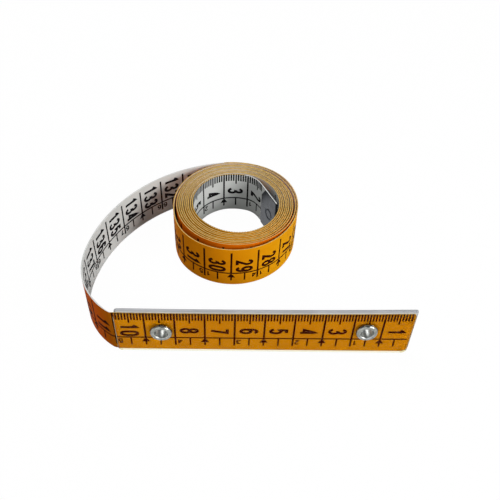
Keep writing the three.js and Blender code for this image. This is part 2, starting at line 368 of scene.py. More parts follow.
def sway(distance, up):
    """How far the stiffened end bows and leans back at a place on it. It dies out in the loop."""
    along = min(distance / PLATED_LENGTH, SWAY_REACH_SHARE)
    bow, lean = (sum(part * along ** power for power, part in enumerate(parts))
                 for parts in (BOW_PARTS, LEAN_PARTS))
    fade = 1 - smooth((distance - FOLD) / SWAY_FADE)
    return (bow + lean * up / TAPE_WIDTH) * MM * fade


def place(distance, across, up):
    """A point of the tape: its distance from zero, how far it stands off the tape's middle to
    the outer side, and its height."""
    x, y, turns, heading = path.at(distance)
    off = across + standoff(turns)
    return Vector((x - off * sin(heading), y + off * cos(heading) + sway(distance, up),
                   up + rise(turns)))


def linked(name, data):
    """A new object in the scene."""
    item = bpy.data.objects.new(name, data)
    bpy.context.scene.collection.objects.link(item)
    return item


# Materials

WEAVE_PITCH = 0.42 * MM
WEAVE_DEPTH = 0.006 * MM
SCRATCH_DEPTH = 0.01 * MM
SCRATCH_STRENGTH = 0.25
SCRATCHES = 6  # to a blotch of the metal
CLEAR_INDEX = 1.08
CLOTH_SHINE = 0.005
CLOTH_ROUGHNESS_SPREAD = 0.08
PLASTIC_ROUGHNESSES = (0.28, 0.45)
METAL_ROUGHNESS_SHARES = (0.7, 1.5)

# The shares of its noise between which a finish goes from one colour to the other
EVEN_SHARES = (0.4, 0.6)
SOFT_SHARES = (0.35, 0.65)
INK_SHARES = (0.45, 0.7)

# How many blotches of a finish, or threads along and across a cut edge, fit in a metre
COATING_GRAIN = 90
INK_GRAIN = 700
PLASTIC_GRAIN = 60
NICKEL_GRAIN = 900
TIP_GRAIN = 500
EDGE_THREADS = (700, 5000, 1)

# The orange coating's base colour is multiplied along the tape by painted light and shade: it is
# darker under the clear plate, redder and darker at the fold, along the lead and on the coil's
# shaded left side and inner turns, and yellower and brighter on the coil's lit right side. Each
# place is metres from zero, with what the base colour is multiplied by there.
ORANGE_PAINTED_LIGHT_AND_SHADE = ((0.0, (0.52, 0.55, 0.4)), (0.099, (0.52, 0.56, 0.4)), (0.101, (0.64, 0.42, 0.25)),
                (0.108, (0.9, 0.36, 0.2)), (0.19, (0.95, 0.55, 0.3)), (0.235, (1.0, 1.12, 1.1)),
                (0.268, (1.0, 1.12, 1.1)), (0.295, (1.0, 0.86, 0.6)), (0.325, (1.0, 0.68, 0.3)),
                (0.4, (0.9, 0.48, 0.3)), (0.54, (0.95, 0.5, 0.3)), (0.6, (0.8, 0.78, 0.8)))
PAINTED_LIGHT_AND_SHADE_REACH = ORANGE_PAINTED_LIGHT_AND_SHADE[-1][0]


def surface(name, colour, roughness, **inputs):
    """A material with one shader, and its node tree and that shader to build on."""
    material = bpy.data.materials.new(name)
    material.use_nodes = True
    shader = material.node_tree.nodes["Principled BSDF"]
    shader.inputs["Base Color"].default_value = (*colour, 1)
    shader.inputs["Roughness"].default_value = roughness
    for key, value in inputs.items():
        shader.inputs[key.replace("_", " ")].default_value = value
    return material, material.node_tree, shader


def feed(tree, socket, given):
    """Sets an input, or links it to the output that is given."""
    if isinstance(given, bpy.types.NodeSocket):
        tree.links.new(given, socket)
    else:
        socket.default_value = given


def add(tree, kind, *given, **settings):
    """A node. What is given without a name goes to its first inputs, and the rest to the
    property or the input of that name."""
    node = tree.nodes.new("ShaderNode" + kind)
    for key, value in settings.items():
        if hasattr(node, key):
            setattr(node, key, value)
        else:
            feed(tree, node.inputs[key.replace("_", " ")], value)
    for socket, value in zip(node.inputs, given):
        feed(tree, socket, value)
    return node


def maths(tree, operation, *given):
    return add(tree, "Math", *given, operation=operation).outputs[0]


def ramp(tree, share, stops):
    """The colour at a share. The stops have a share and a colour each."""
    node = add(tree, "ValToRGB", share)
    made = node.color_ramp.elements
    made[0].position, made[1].position = stops[0][0], stops[-1][0]
    for share_of_stop, _ in stops[1:-1]:
        made.new(share_of_stop)
    for stop, (_, colour) in zip(made, stops):
        stop.color = (*colour, 1)
    return node.outputs["Color"]


def multiplied(tree, colour, factor):
    """The product of two colours. The node has inputs and an output for each kind of value, all
    with the same names, so those for colours are picked by number."""
    node = add(tree, "Mix", data_type="RGBA", blend_type="MULTIPLY", Factor=1)
    feed(tree, node.inputs[6], colour)
    feed(tree, node.inputs[7], factor)
    return node.outputs[2]


def on_tape(tree):
    """A place's distance from the tape's zero and its height on the tape."""
    return add(tree, "UVMap", uv_map="tape").outputs["UV"]


def mottle(tree, shader, colour, other, grain, shares=EVEN_SHARES, vector=None):
    """Lets a noise run the base colour from one colour to another."""
    if vector is None:
        vector = add(tree, "TexCoord").outputs["Object"]
    noise = add(tree, "TexNoise", vector, Scale=grain, Detail=5, Roughness=0.6).outputs["Fac"]
    shade = ramp(tree, noise, ((shares[0], colour), (shares[1], other)))
    feed(tree, shader.inputs["Base Color"], shade)
    return noise, shade


def vary_roughness(tree, shader, noise, low, high):
    spread = add(tree, "MapRange", noise, To_Min=low, To_Max=high)
    feed(tree, shader.inputs["Roughness"], spread.outputs["Result"])


def emboss(tree, shader, height, strength, depth):
    relief = add(tree, "Bump", Strength=strength, Distance=depth, Height=height)
    feed(tree, shader.inputs["Normal"], relief.outputs["Normal"])


def show_weave(tree, shader):
    """A plain weave that shows faintly through the coating, by the tape's own length and width."""
    axes = add(tree, "SeparateXYZ", on_tape(tree)).outputs
    threads = [maths(tree, "SINE", maths(tree, "MULTIPLY", axes[axis], pi / WEAVE_PITCH))
               for axis in ("X", "Y")]
    emboss(tree, shader, maths(tree, "MULTIPLY", *threads), 1, WEAVE_DEPTH)


def coated_cloth(name, colour, other, roughness, painted_light_and_shade=None):
    material, tree, shader = surface(name, colour, roughness, Specular_IOR_Level=CLOTH_SHINE)
    noise, shade = mottle(tree, shader, colour, other, COATING_GRAIN, SOFT_SHARES)
    # The painted light and shade along the tape multiplies the base colour, by distance from zero.
    if painted_light_and_shade:
        distance = add(tree, "SeparateXYZ", on_tape(tree)).outputs["X"]
        stops = [(at / PAINTED_LIGHT_AND_SHADE_REACH, factor) for at, factor in painted_light_and_shade]
        factor = ramp(tree, maths(tree, "DIVIDE", distance, PAINTED_LIGHT_AND_SHADE_REACH), stops)
        feed(tree, shader.inputs["Base Color"], multiplied(tree, shade, factor))
    vary_roughness(tree, shader, noise, roughness - CLOTH_ROUGHNESS_SPREAD,
                   roughness + CLOTH_ROUGHNESS_SPREAD)
    show_weave(tree, shader)
    return material


def cut_edge():
    """The cut edge of the cloth: cream core threads between two coatings."""
    material, tree, shader = surface("cut_edge", (0.62, 0.46, 0.15), 0.75, Specular_IOR_Level=0)
    threads = add(tree, "Mapping", on_tape(tree), Scale=EDGE_THREADS).outputs["Vector"]
    mottle(tree, shader, (0.36, 0.21, 0.045), (0.7, 0.5, 0.19), 1, SOFT_SHARES, threads)
    return material


def ink(name, colour, other):
    material, tree, shader = surface(name, colour, 0.6, Specular_IOR_Level=CLOTH_SHINE)
    mottle(tree, shader, colour, other, INK_GRAIN, INK_SHARES)
    show_weave(tree, shader)
    return material


def clear_plastic(name, colour, roughness, shine, tint):
    """Its index is far under the real one, at which its narrow edges turn black before a white
    floor."""
    material, _, _ = surface(name, colour, roughness, Transmission_Weight=1, IOR=CLEAR_INDEX,
                             Specular_IOR_Level=shine, Specular_Tint=(*tint, 1))
    return material


def white_plastic(name, colour, other):
    material, tree, shader = surface(name, colour, 0.35)
    noise, _ = mottle(tree, shader, colour, other, PLASTIC_GRAIN)
    vary_roughness(tree, shader, noise, *PLASTIC_ROUGHNESSES)
    return material


def metal(name, colour, other, roughness, grain):
    """Blotchy metal with fine scratches."""
    material, tree, shader = surface(name, colour, roughness, Metallic=1)
    noise, _ = mottle(tree, shader, colour, other, grain)
    vary_roughness(tree, shader, noise, *(roughness * share for share in METAL_ROUGHNESS_SHARES))
    on_piece = add(tree, "TexCoord").outputs["Object"]
    scratches = add(tree, "TexNoise", on_piece, Scale=grain * SCRATCHES, Detail=3).outputs["Fac"]
    emboss(tree, shader, scratches, SCRATCH_STRENGTH, SCRATCH_DEPTH)
    return material


ORANGE, WHITE, EDGE, INK_ON_ORANGE, INK_ON_WHITE = range(5)
tape_materials = [
    # The orange coating carries painted light and shade along the tape.
    coated_cloth("orange_coating", (0.75, 0.285, 0.003), (0.82, 0.33, 0.005), 0.5, ORANGE_PAINTED_LIGHT_AND_SHADE),
    coated_cloth("white_coating", (0.62, 0.63, 0.61), (0.67, 0.675, 0.655), 0.45),
    cut_edge(),
    ink("ink_on_orange", (0.03, 0.005, 0.002), (0.055, 0.011, 0.004)),
    ink("ink_on_white", (0.008, 0.007, 0.008), (0.02, 0.018, 0.02)),
]
clear = clear_plastic("clear_plastic", (0.98, 0.91, 0.66), 0.04, 0.1, (0.05, 0.05, 0.05))
# A darker, olive copy of the clear plastic for the plate's eased edges and walls: painted shade.
clear_wall_painted_shade = clear_plastic("clear_plastic_wall_painted_shade", (0.64, 0.58, 0.3), 0.1, 0.3, (0.5, 0.5, 0.4))
white = white_plastic("white_plastic", (0.56, 0.57, 0.59), (0.64, 0.65, 0.66))
# A darker copy of the white plastic for the plate's eased edges and walls: painted shade.
white_wall_painted_shade = white_plastic("white_plastic_wall_painted_shade", (0.34, 0.345, 0.36), (0.41, 0.415, 0.43))
nickel = metal("nickel", (0.25, 0.26, 0.24), (0.38, 0.39, 0.36), 0.19, NICKEL_GRAIN)
# A rougher copy of the nickel for the bore, with a brighter colour that is painted light.
nickel_bore_painted_light = metal("nickel_bore_painted_light", (0.34, 0.35, 0.33), (0.52, 0.53, 0.51), 0.34, NICKEL_GRAIN)
# The tip's metal is made near black: painted shade of the coil's bore, where the tip lies.
tip_metal = metal("tip_metal", (0.03, 0.034, 0.041), (0.056, 0.062, 0.073), 0.26, TIP_GRAIN)


# Meshes

SHARP_ANGLE = radians(35)


class Maker:
    """Gathers points, faces and their place on the tape, and makes them one piece."""

    def __init__(self):
        self.points, self.flat, self.faces, self.slots = [], [], [], []

    def extend(self, points, flat, faces, slots):
        start = len(self.points)
        self.points += points
        self.flat += flat
        self.faces += [tuple(start + i for i in face) for face in faces]
        self.slots += slots

    def piece(self, name, materials):
        mesh = bpy.data.meshes.new(name)
        mesh.from_pydata(self.points, [], self.faces)
        layer = mesh.uv_layers.new(name="tape")
        for polygon in mesh.polygons:
            for i in polygon.loop_indices:
                layer.data[i].uv = self.flat[mesh.loops[i].vertex_index]
        for material in materials:
            mesh.materials.append(material)
        mesh.polygons.foreach_set("material_index", self.slots)
        mesh.polygons.foreach_set("use_smooth", [True] * len(self.slots))
        mesh.set_sharp_from_angle(angle=SHARP_ANGLE)
        mesh.update()
        return linked(name, mesh)


def ribbon(maker, distances, cut, outer):
    """A closed length of tape with its edges eased, orange outside and white inside. The slots
    of its cut edges and of the orange coating's eased edges are given."""
    side_slots = (ORANGE, outer, cut, cut, WHITE, cut, cut, outer)
    points, flat, faces, slots = [], [], [], []
    for distance in distances:
        half = thickness(distance) / 2
        top, eased = TAPE_WIDTH, min(COAT_EDGE, half / 2)
        outline = ((half, eased), (half, top - eased), (half - eased, top), (eased - half, top),
                   (-half, top - eased), (-half, eased), (eased - half, 0), (half - eased, 0))
        points += [place(distance, across, up) for across, up in outline]
        flat += [(distance, up + across) for across, up in outline]
    count = len(side_slots)
    last = (len(distances) - 1) * count
    for start in range(0, last, count):
        for side, slot in enumerate(side_slots):
            a, b = start + side, start + (side + 1) % count
            faces.append((a, b, b + count, a + count))
            slots.append(slot)
    faces += [tuple(range(count))[::-1], tuple(last + i for i in range(count))]
    slots += [EDGE, EDGE]
    maker.extend(points, flat, faces, slots)


# Flat sheets of the stiffened end

# Their outlines are drawn in reach and height. Reach runs to the viewer's right from the zero
# line, so it is the distance from zero with its sign turned. Each has a hole for each eyelet.
EYELET_HOLE_RADIUS = 2.8 * MM
PRINT_HOLE_RADIUS = 3.1 * MM
CORNER_STEPS = 8  # a corner
SHEET_STEP = 4 * MM
HOLE_MARGIN = SHEET_STEP / 3
HOLE_SIDES = 48
EASING_STEPS = 3
FILL_TOLERANCE = 1e-7


def off_eyelets(reach, up, radius):
    """Whether a place lies further than a radius from the middle of both eyelets."""
    return all(hypot(reach - centre[0], up - centre[1]) > radius for centre in eyelet_centres)


def plate_outline(box, corners, inset):
    """A rectangle with round corners, drawn in by an inset, anticlockwise from the front."""
    left, right, low, high = box
    ends = ((right, high, -1, -1), (left, high, 1, -1), (left, low, 1, 1), (right, low, -1, 1))
    arcs = []
    for quarter, ((reach, up, in_reach, in_up), corner) in enumerate(zip(ends, corners)):
        angles = even(quarter * pi / 2, (quarter + 1) * pi / 2, CORNER_STEPS)
        arcs.append([(reach + in_reach * corner + (corner - inset) * cos(angle),
                      up + in_up * corner + (corner - inset) * sin(angle)) for angle in angles])
    outline = []
    sides = (right - left, high - low) * 2
    for bend, after, side in zip(arcs, arcs[1:] + arcs[:1], sides):
        outline += bend + between(bend[-1], after[0], ceil(side / SHEET_STEP))[1:]
    return outline


def hole_outline(centre, radius):
    """The edge of a round hole, clockwise from the front."""
    angles = [TURN * i / HOLE_SIDES for i in range(HOLE_SIDES)]
    return [(centre[0] + radius * cos(a), centre[1] - radius * sin(a)) for a in angles]


def fill(loops, box, hole):
    """Points inside the loops, and the triangles that fill them all, anticlockwise."""
    left, right, low, high = box
    edge = [point for loop in loops for point in loop]
    inner = [(reach, up)
             for reach in spaced(left, right, SHEET_STEP)[1:-1]
             for up in spaced(low, high, SHEET_STEP)[1:-1]
             if off_eyelets(reach, up, hole + HOLE_MARGIN)]
    sides, start = [], 0
    for loop in loops:
        count = len(loop)
        sides += [(start + i, start + (i + 1) % count) for i in range(count)]
        start += count
    given = [Vector(point) for point in edge + inner]
    found, _, faces, origins, _, _ = delaunay_2d_cdt(given, sides, [], 0, FILL_TOLERANCE)
    triangles = []
    for face in faces:
        a, b, c = (found[i] for i in face)
        middle = (a + b + c) / 3
        if off_eyelets(middle.x, middle.y, hole):
            corners = [origins[i][0] for i in face]
            triangles.append(corners if (b - a).cross(c - a) > 0 else corners[::-1])
    return inner, triangles


def sheet(maker, box, corners, front, back, bevel, slots):
    """A flat sheet between two places across the tape, with eased edges and round holes. Its
    slots are for its front, its back, and its eased edges and walls."""
    eased = [(bevel * (1 - sin(a)), bevel * (1 - cos(a))) for a in even(0, pi / 2, EASING_STEPS)]
    levels = [(inset, front - drop) for inset, drop in eased]
    levels += [(inset, back + drop) for inset, drop in reversed(eased)]
    outlines = [[plate_outline(box, corners, inset)]
                + [hole_outline(centre, EYELET_HOLE_RADIUS + inset) for centre in eyelet_centres]
                for inset, _ in levels]
    inner, triangles = fill(outlines[0], box, EYELET_HOLE_RADIUS + bevel)
    laid = [(reach, up, across) for loops, (_, across) in zip(outlines, levels)
            for loop in loops for reach, up in loop]
    laid += [(reach, up, across) for across in (front, back) for reach, up in inner]
    around = sum(len(loop) for loop in outlines[0])
    total = around * len(levels)

    def number(i, level, second):
        return level * around + i if i < around else total + second * len(inner) + i - around

    faces = [tuple(number(i, 0, 0) for i in face) for face in triangles]
    faces += [tuple(number(i, len(levels) - 1, 1) for i in reversed(face)) for face in triangles]
    kinds = [slots[0]] * len(triangles) + [slots[1]] * len(triangles)
    for level in range(len(levels) - 1):
        start = level * around
        for loop in outlines[0]:
            count = len(loop)
            for i in range(count):
                a, b = start + i, start + (i + 1) % count
                faces.append((a, a + around, b + around, b))
                kinds.append(slots[2])
            start += count
    points = [place(-reach, across, up) for reach, up, across in laid]
    maker.extend(points, [(-reach, up) for reach, up, _ in laid], faces, kinds)


# The print

# A mark is a flat mesh in the viewer's own right and up, which is then laid on a face of the
# tape as a thin closed layer of ink
INK_HEIGHT = 0.02 * MM
INK_DEPTH = 0.02 * MM  # how far a mark is sunk into the coating
MARK_STEP = 0.8 * MM  # the longest stretch of a mark that stays flat
LONGEST_MITRE = 1.8  # times half a stroke's width
ARC_STEP = 18  # degrees
RULE_HEIGHT = 6.4 * MM
RULE_WIDTH = 0.62 * MM
LINE_WIDTH = 0.7 * MM
LINE_TOP = 17.4 * MM
LOW_END = 2.3 * MM  # where the marks under the rule end
LOW_TICK_WIDTH = 0.58 * MM
TICK_WIDTH = 0.6 * MM
TICK_LENGTH = 3.4 * MM
HALF_TICK_LENGTH = 4.9 * MM
TICKED = 10  # centimetres with millimetre ticks, at each end
ARROW_WIDTH = 3 * MM
ARROW_HEIGHT = 2.4 * MM
ARROW_STEM_WIDTH = 0.6 * MM
FIGURE_TALL = 6.5 * MM
FIGURE_WIDE = 3.05 * MM
FIGURE_STROKE = 1.1 * MM
FIGURE_SHIFT = 0.2 * MM  # a number stands this much nearer to its own line
FIGURE_PITCH = 3.5 * MM
FIGURES_MIDDLE = 10.2 * MM
FIGURES_LOW = 7.0 * MM
SMALL_TALL = 2.5 * MM
SMALL_WIDE = 1.75 * MM
SMALL_STROKE = 0.5 * MM
SMALL_MIDDLE = 4.3 * MM
SMALL_OFFSET = 1.45 * MM


def arc(x, y, wide, tall, start, end):
    """Points on part of an ellipse, between two angles in degrees."""
    steps = max(2, ceil(abs(end - start) / ARC_STEP))
    angles = even(radians(start), radians(end), steps)
    return [(x + wide * cos(angle), y + tall * sin(angle)) for angle in angles]


# The strokes of each figure in a box that is one wide and one tall, and whether it closes
FIGURES = {
    "0": [(arc(0.5, 0.68, 0.5, 0.32, 0, 180) + arc(0.5, 0.32, 0.5, 0.32, 180, 360), True)],
    "1": [([(0.1, 0.76), (0.6, 1.0), (0.6, 0.0)], False)],
    "2": [(arc(0.5, 0.73, 0.48, 0.27, 170, -25) + [(0.0, 0.0), (1.0, 0.0)], False)],
    "3": [(arc(0.46, 0.755, 0.46, 0.245, 165, -80) + arc(0.46, 0.265, 0.54, 0.265, 80, -165),
           False)],
    "4": [([(1.0, 0.24), (0.0, 0.24), (0.8, 1.0), (0.8, 0.0)], False)],
    "5": [([(0.9, 1.0), (0.18, 1.0), (0.08, 0.52)] + arc(0.46, 0.33, 0.52, 0.33, 128, -160),
           False)],
    "6": [(arc(0.5, 0.31, 0.5, 0.31, 0, 360)[:-1], True),
          (arc(0.52, 0.66, 0.5, 0.34, 35, 165) + [(0.0, 0.31)], False)],
    "7": [([(0.0, 1.0), (1.0, 1.0), (0.4, 0.0)], False)],
    "8": [(arc(0.5, 0.765, 0.43, 0.235, 0, 360)[:-1], True),
          (arc(0.5, 0.265, 0.5, 0.265, 0, 360)[:-1], True)],
    "9": [(arc(0.5, 0.69, 0.5, 0.31, 0, 360)[:-1], True),
          (arc(0.48, 0.34, 0.5, 0.34, 215, 345) + [(1.0, 0.69)], False)],
}


def stroke(points, width, closed=False):
    """A line of even width as quads, mitred at its corners and cut into short stretches."""
    line = []
    ring = points + points[:1] if closed else points
    for a, b in zip(ring, ring[1:]):
        line += between(a, b, max(1, ceil(hypot(b[0] - a[0], b[1] - a[1]) / MARK_STEP)))
    if not closed:
        line.append(ring[-1])
    count = len(line)
    spans = count if closed else count - 1
    ways = []
    for a, b in zip(line, line[1:] + line[:1]):
        length = hypot(b[0] - a[0], b[1] - a[1])
        ways.append(((b[0] - a[0]) / length, (b[1] - a[1]) / length))
    verts = []
    for i, (x, y) in enumerate(line):
        meeting = [ways[k] for k in (i - 1, i) if closed or 0 <= k < spans]
        right, up = (sum(parts) for parts in zip(*meeting))
        size = hypot(right, up)
        half = min(len(meeting) / size, LONGEST_MITRE) * width / 2
        side = (-up / size * half, right / size * half)
        verts += [(x + side[0], y + side[1]), (x - side[0], y - side[1])]
    faces = [(2 * i, 2 * i + 1, (2 * i + 3) % (2 * count), (2 * i + 2) % (2 * count))
             for i in range(spans)]
    return verts, faces


def figure(digit, wide, tall, width):
    """The marks of one upright figure, centred, whose strokes stay inside its box."""
    return [stroke([((x - 0.5) * (wide - width), (y - 0.5) * (tall - width)) for x, y in points],
                   width, closed) for points, closed in FIGURES[digit]]


def moved(marks, x, y, quarter_turns=0):
    """The marks turned clockwise by quarter turns and then moved."""
    placed = []
    for verts, faces in marks:
        for _ in range(quarter_turns):
            verts = [(b, -a) for a, b in verts]
        placed.append(([(a + x, b + y) for a, b in verts], faces))
    return placed


def arrow(x):
    """An arrowhead whose tip is on the rule, with its stem."""
    tip, foot = RULE_HEIGHT, RULE_HEIGHT - ARROW_HEIGHT
    half = ARROW_WIDTH / 2
    verts = [(x - half, foot), (x - half / 2, (tip + foot) / 2), (x, tip),
             (x + half / 2, (tip + foot) / 2), (x + half, foot), (x + half / 2, foot),
             (x, foot), (x - half / 2, foot)]
    faces = [(0, 7, 1), (1, 7, 6, 2), (2, 6, 5, 3), (3, 5, 4)]
    return [(verts, faces), stroke([(x, foot), (x, LOW_END)], ARROW_STEM_WIDTH)]


def big_number(number, x):
    """A number between two centimetre lines, turned so that its top is towards zero."""
    digits = str(number)
    span = (len(digits) - 1) * FIGURE_PITCH
    middle = FIGURES_MIDDLE if len(digits) < 3 else FIGURES_LOW + (span + FIGURE_WIDE) / 2
    marks = []
    for i, digit in enumerate(digits):
        upright = figure(digit, FIGURE_WIDE, FIGURE_TALL, FIGURE_STROKE)
        marks += moved(upright, x, middle + span / 2 - i * FIGURE_PITCH, 1)
    return marks


def small_number(number, x):
    """Half the centimetre's number, upside down, with a digit on each side of its line."""
    marks = []
    for digit, offset in zip(str(number), (SMALL_OFFSET, -SMALL_OFFSET)):
        upright = figure(digit, SMALL_WIDE, SMALL_TALL, SMALL_STROKE)
        marks += moved(upright, x + offset, SMALL_MIDDLE, 2)
    return marks


def centimetre(n):
    """The marks that belong to one centimetre: the line that ends it and what comes before.
    Zero is to the viewer's right, so a reading lies at that distance to the left."""
    line = -10 * n * MM
    middle = line + 5 * MM
    top = TAPE_WIDTH if n <= TICKED else LINE_TOP
    low = LOW_END if n % 2 == 0 else RULE_HEIGHT
    marks = [stroke([(line, top), (line, low)], LINE_WIDTH),
             stroke([(middle, RULE_HEIGHT), (middle, LOW_END)], LOW_TICK_WIDTH)]
    marks += small_number(n // 2, line) if n % 2 == 0 else arrow(line)
    marks += big_number(n, middle - FIGURE_SHIFT)
    if n <= TICKED:
        for k in range(1, 10):
            reach = HALF_TICK_LENGTH if k == 5 else TICK_LENGTH
            x = line + k * MM
            marks.append(stroke([(x, TAPE_WIDTH), (x, TAPE_WIDTH - reach)], TICK_WIDTH))
    return marks


def clear_of_eyelets(mark):
    """The mark without the faces that lie on an eyelet, and without the points only they use."""
    verts, faces = mark
    kept = []
    for face in faces:
        x, up = (sum(parts) / len(face) for parts in zip(*(verts[i] for i in face)))
        if off_eyelets(x, up, PRINT_HOLE_RADIUS):
            kept.append(face)
    used = sorted({i for face in kept for i in face})
    numbers = {old: new for new, old in enumerate(used)}
    return [verts[i] for i in used], [tuple(numbers[i] for i in face) for face in kept]


def lay(maker, mark, side, slot):
    """Lays a flat mark on the orange face (side 1) or the white face (side -1) as ink."""
    verts, faces = clear_of_eyelets(mark) if side > 0 else mark
    count = len(verts)
    points, flat = [], []
    for out in (INK_HEIGHT, -INK_DEPTH):
        for x, up in verts:
            distance = -x if side > 0 else TAPE_LENGTH + x
            points.append(place(distance, side * (thickness(distance) / 2 + out), up))
            flat.append((distance, up))
    edges = dict.fromkeys(edge for face in faces for edge in zip(face, face[1:] + face[:1]))
    solid = faces + [tuple(count + i for i in reversed(face)) for face in faces]
    solid += [(b, a, a + count, b + count) for a, b in edges if (b, a) not in edges]
    maker.extend(points, flat, solid, [slot] * len(solid))


def print_scale(maker, side, start, end, rule_ends=None):
    """Prints the marks whose middles lie between two readings of one face. The rule runs from
    one to the other too, if it has no ends of its own."""
    slot = INK_ON_ORANGE if side > 0 else INK_ON_WHITE
    first, last = max(1, int(start / (10 * MM))), int(end / (10 * MM)) + 1
    for n in range(first, last + 1):
        for mark in centimetre(n):
            middle = -sum(x for x, _ in mark[0]) / len(mark[0])
            if start <= middle < end:
                lay(maker, mark, side, slot)
    rule = [(-reading, RULE_HEIGHT) for reading in rule_ends or (start, end)]
    lay(maker, stroke(rule, RULE_WIDTH), side, slot)


# The five lengths of tape

RULE_START = 0.7 * MM
SEAM_IN_PLATES = 0.3 * MM  # the seam by the plates lies this far inside them
FOLD_SEAM = FOLD - SEAM_IN_PLATES
LOOP_SEAM = 151.4 * MM  # clear of every figure, on both faces
TAIL_PRINT = 21.5 * MM  # from the inner end
FLEX_SEAM = TAPE_LENGTH - TAIL_PRINT
WHITE_LEAD_START = 103 * MM  # from here on, the white face has marks
OUTER_TURNS_SEEN = 2 * path.outer_turn
INNER_TURNS_SEEN = 225 * MM
LOOP_STEP = 0.8 * MM  # the longest stretch of tape that stays flat
COIL_STEP = 0.7705 * MM
TAIL_STEP = 0.5 * MM
ZERO_TOP_CORNER = 0.5 * MM
ZERO_LOW_CORNER = 1.7 * MM
SQUARE_CORNER = 0.06 * MM


def stiff_length():
    maker = Maker()
    box = (-FOLD_SEAM - CUT_BEVEL, 0, 0, TAPE_WIDTH)
    corners = (ZERO_TOP_CORNER, SQUARE_CORNER, SQUARE_CORNER, ZERO_LOW_CORNER)
    half = PLATED_THICKNESS / 2
    sheet(maker, box, corners, half, -half, CUT_BEVEL, (ORANGE, WHITE, EDGE))
    print_scale(maker, 1, 0, FOLD_SEAM, (RULE_START, FOLD_SEAM))
    piece = maker.piece("tape_in_plates", tape_materials)
    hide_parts("tape_straight")
    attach(piece, "stiff_end")


def loop_by_plates():
    maker = Maker()
    ribbon(maker, spaced(FOLD_SEAM, LOOP_SEAM, LOOP_STEP), WHITE, WHITE)
    print_scale(maker, 1, FOLD_SEAM, LOOP_SEAM)
    print_scale(maker, -1, TAPE_LENGTH - LOOP_SEAM, TAPE_LENGTH - WHITE_LEAD_START,
                (TAPE_LENGTH - LOOP_SEAM, TAPE_LENGTH - FOLD_SEAM))
    piece = maker.piece("loop_by_plates", tape_materials)
    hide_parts("tape_lead")
    place(FOLD_SEAM, 0, 0)
    place(FOLD + FOLD_BLEND, 0, 0)
    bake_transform(piece)


def loop_by_coil():
    maker = Maker()
    ribbon(maker, spaced(LOOP_SEAM, PEEL, LOOP_STEP), WHITE, WHITE)
    print_scale(maker, 1, LOOP_SEAM, PEEL)
    print_scale(maker, -1, TAPE_LENGTH - PEEL, TAPE_LENGTH - LOOP_SEAM)
    piece = maker.piece("loop_by_coil", tape_materials)
    place(PEEL - PEEL_BLEND, 0, 0)
    place(PEEL, 0, 0)
    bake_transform(piece)


def coil():
    maker = Maker()
    ribbon(maker, spaced(PEEL, FLEX_SEAM, COIL_STEP), EDGE, ORANGE)
    print_scale(maker, 1, PEEL, PEEL + OUTER_TURNS_SEEN)
    print_scale(maker, -1, TAIL_PRINT, INNER_TURNS_SEEN)
    piece = maker.piece("tape_wound", tape_materials)
    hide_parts("tape_coil")
    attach(piece, "coil")


def inner_end():
    maker = Maker()
    ribbon(maker, spaced(FLEX_SEAM, TAPE_LENGTH, TAIL_STEP), WHITE, WHITE)
    print_scale(maker, -1, TIP_LENGTH + TICK_WIDTH, TAIL_PRINT, (TIP_LENGTH, TAIL_PRINT))
    piece = maker.piece("tape_inner_end", tape_materials)
    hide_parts("tape_tail")
    place(FLEX_SEAM, 0, 0)
    place(FLEX + TAIL_EASED_REACH, 0, 0)
    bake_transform(piece)


stiff_length()
loop_by_plates()
loop_by_coil()
coil()
inner_end()


# The two plates. The clear one lies before the tape and the white one behind it.

CLEAR_CORNERS = (0.7 * MM, 1.4 * MM, 1.4 * MM, 2 * MM)  # from the upper right, anticlockwise
WHITE_CORNERS = (0.55 * MM, 1.2 * MM, 1.2 * MM, 1.2 * MM)
CLEAR_BEVEL = 0.15 * MM
WHITE_BEVEL = 0.45 * MM


def stiffener(name, node, corners, bevel, materials):
    """One plate. Its second material, a darker copy of its first, is painted shade on its eased edges
    and walls.
    """
    low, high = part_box(node)
    maker = Maker()
    box = (low.x - ZERO_X, high.x - ZERO_X, low.z, high.z)
    sheet(maker, box, corners, MIDDLE_Y - low.y, MIDDLE_Y - high.y, bevel, (0, 0, 1))
    piece = maker.piece(name, materials)
    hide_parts(node)
    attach(piece, "stiff_end")


stiffener("clear_plate", "stiffener_front", CLEAR_CORNERS, CLEAR_BEVEL, [clear, clear_wall_painted_shade])
stiffener("white_plate", "stiffener_back", WHITE_CORNERS, WHITE_BEVEL, [white, white_wall_painted_shade])


# The eyelets

EYELET_BORE_RADIUS = 2.2 * MM
EYELET_BARREL_RADIUS = 2.5 * MM
RIM_EDGE_RADIUS = 3.72 * MM
RIM_CREST_RADII = (3.1 * MM, 2.65 * MM)
RIM_HEIGHT = 1 * MM
MOUTH_DEPTH = 0.6 * MM
CLINCH_EDGE_RADIUS = 3.3 * MM
CLINCH_CREST_RADII = (2.8 * MM, 2.6 * MM)
CLINCH_HEIGHT = 0.8 * MM
CLINCH_DEPTH = 0.45 * MM
EYELET_SIDES = 72
RIM_STEPS = 8
BORE_LEAD_STEPS = 5  # how many steps of each rim's fall into the bore take the bore's rougher finish and its painted light


def rolled_rim(face, outwards, edge, crests, height, depth):
    """From a rim's edge on its plate over the crest and down into the bore."""
    outer, inner = crests
    angles = even(0, pi / 2, RIM_STEPS)
    rise_to = [(outer + (edge - outer) * cos(a), face + outwards * height * sin(a))
               for a in angles]
    fall_to = [(inner - (inner - EYELET_BORE_RADIUS) * sin(a),
                face + outwards * (height - depth * (1 - cos(a)))) for a in angles]
    return rise_to + fall_to


